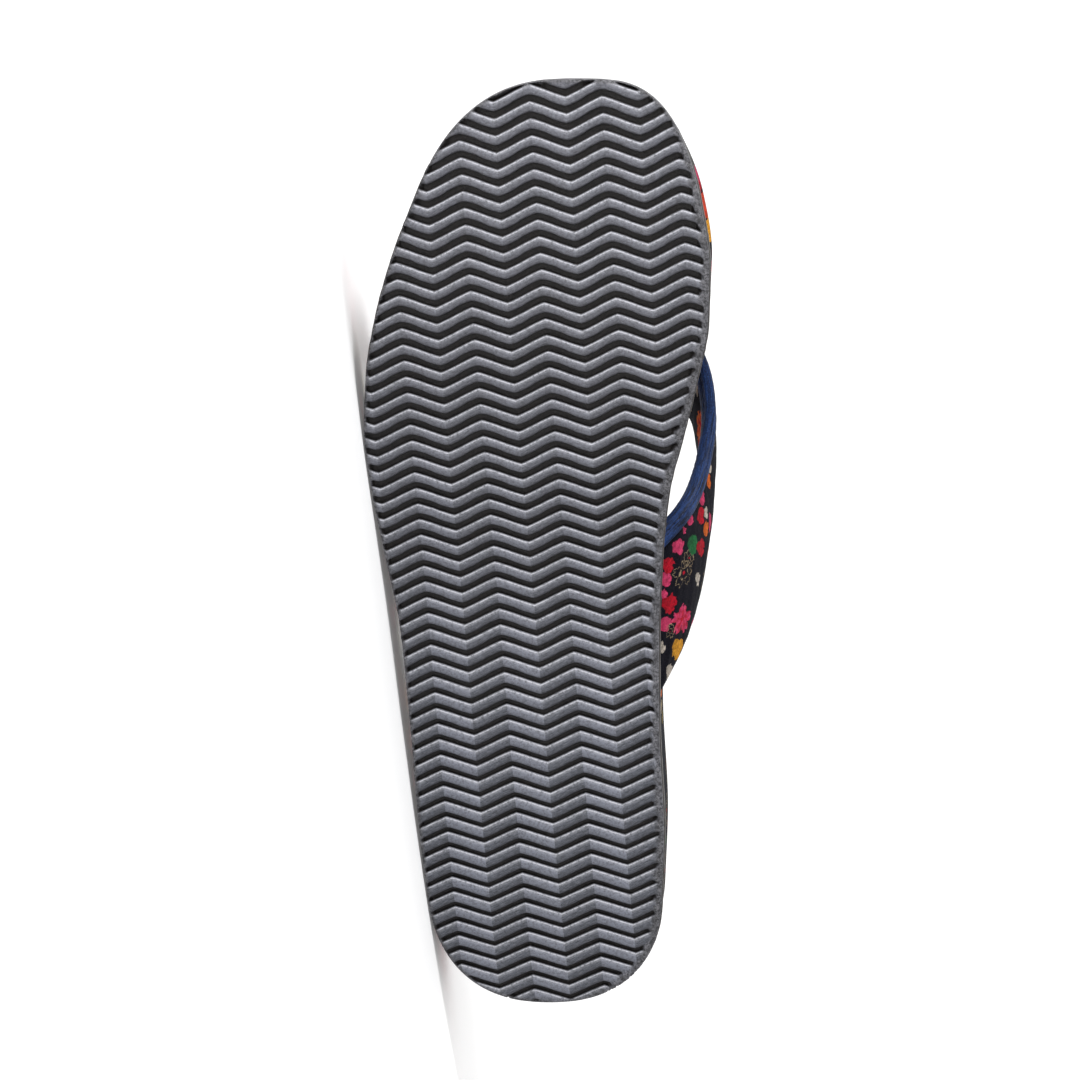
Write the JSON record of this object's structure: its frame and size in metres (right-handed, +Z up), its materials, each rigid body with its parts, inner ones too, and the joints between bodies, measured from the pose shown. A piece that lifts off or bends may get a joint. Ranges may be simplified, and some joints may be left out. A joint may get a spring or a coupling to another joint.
{
  "type": "zori sandal",
  "caption": "Thong sandal for the right foot with a fabric wrapped wedge footbed, a padded V strap edged with piping, and a zigzag ribbed rubber outsole.",
  "frame": {"origin": "centre of the bounding box on the floor that the shoe lies on", "axes": "+Z up to the inner side of the shoe, which lies on its outer side; +X from toe to heel; the tread faces -Y"},
  "size_m": [0.2426, 0.0592, 0.0936],
  "materials": {
    "outsole_rubber": "matte moulded zigzag ribs",
    "print_fabric": "crepe cotton with small printed blossoms",
    "piping_fabric": "plain woven blue binding with a stitched groove",
    "post_fabric": "dark woven cord cover"
  },
  "bodies": {
    "root": {"outsole": "outsole_rubber", "footbed": "print_fabric", "strap": "print_fabric", "piping": "piping_fabric", "toe_post": "post_fabric"}
  },
  "joints": []
}
